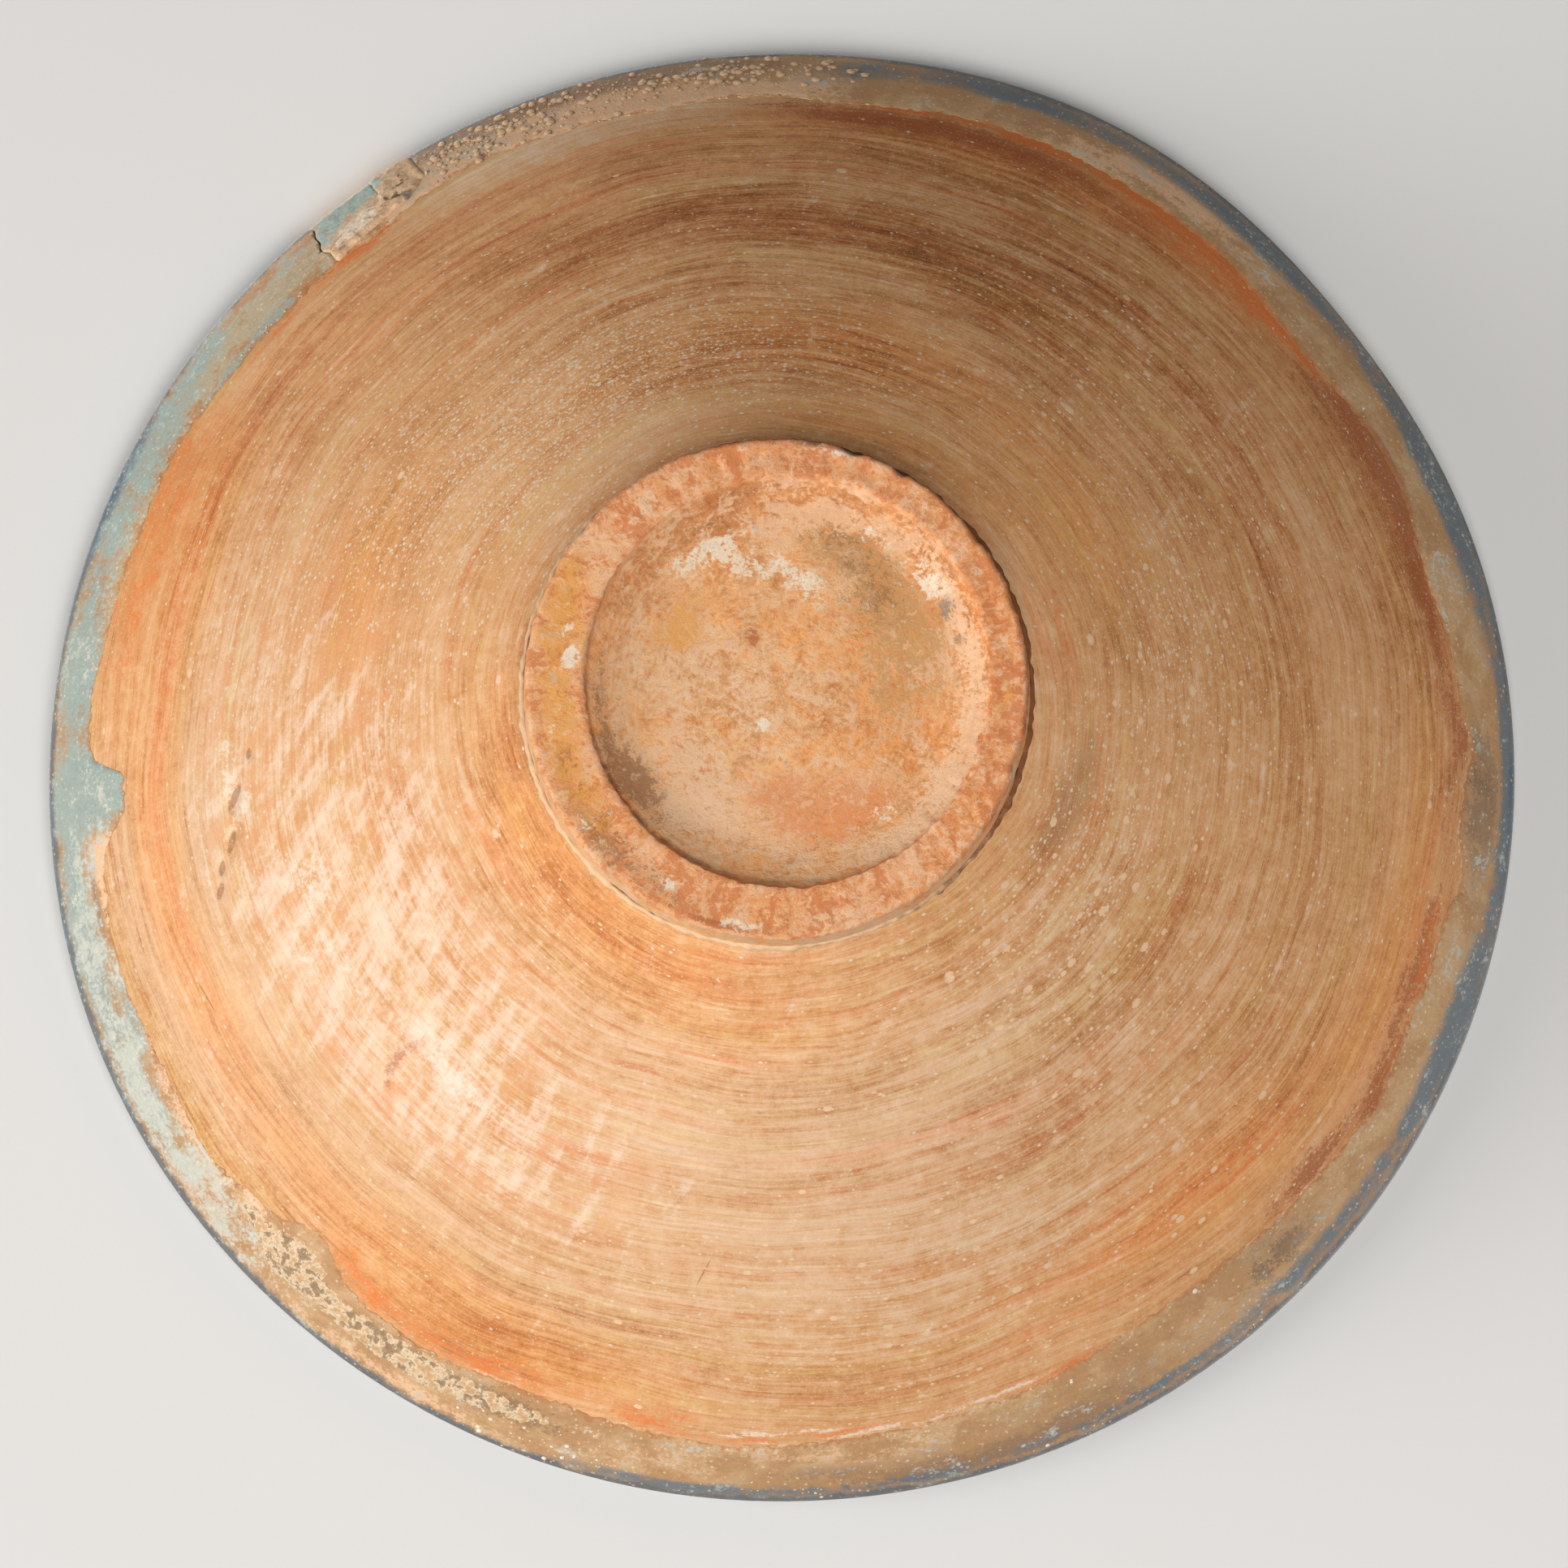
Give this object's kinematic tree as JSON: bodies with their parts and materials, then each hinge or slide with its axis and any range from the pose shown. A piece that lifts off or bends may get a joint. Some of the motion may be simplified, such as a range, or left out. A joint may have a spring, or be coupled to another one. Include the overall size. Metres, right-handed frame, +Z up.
{
  "type": "terracotta bowl",
  "caption": "Wide flaring terracotta bowl on a foot ring, bare clay outside and turquoise glaze inside that laps over the lip, with a mended piece of rim.",
  "frame": {"origin": "centre of the plane that the foot ring stands on", "axes": "+Z up along the bowl's turning axis, from the foot to the mouth; the mended piece of rim lies 127 degrees clockwise from +X, seen from above"},
  "size_m": [0.26, 0.26, 0.095],
  "materials": {
    "bare_clay": "matt turned terracotta with fine turning lines and splashes of slip",
    "foot_clay": "worn pinkish red clay, rubbed smooth on the standing face",
    "luting_slip": "dry buff slip",
    "white_slip": "matt cream white slip",
    "turquoise_glaze": "worn satin turquoise glaze, milky and tan in patches, dark blue at the lip",
    "sherd_glaze": "flaked turquoise glaze on a refixed piece of rim",
    "mend_filler": "rough buff filler with pits"
  },
  "bodies": {
    "root": {"thrown_body": "bare_clay", "foot_ring": "foot_clay", "foot_luting_slip": "luting_slip", "slip_coat": "white_slip", "glaze_coat": "turquoise_glaze", "rim_sherd": "sherd_glaze", "mend_fill": "mend_filler"}
  },
  "joints": []
}
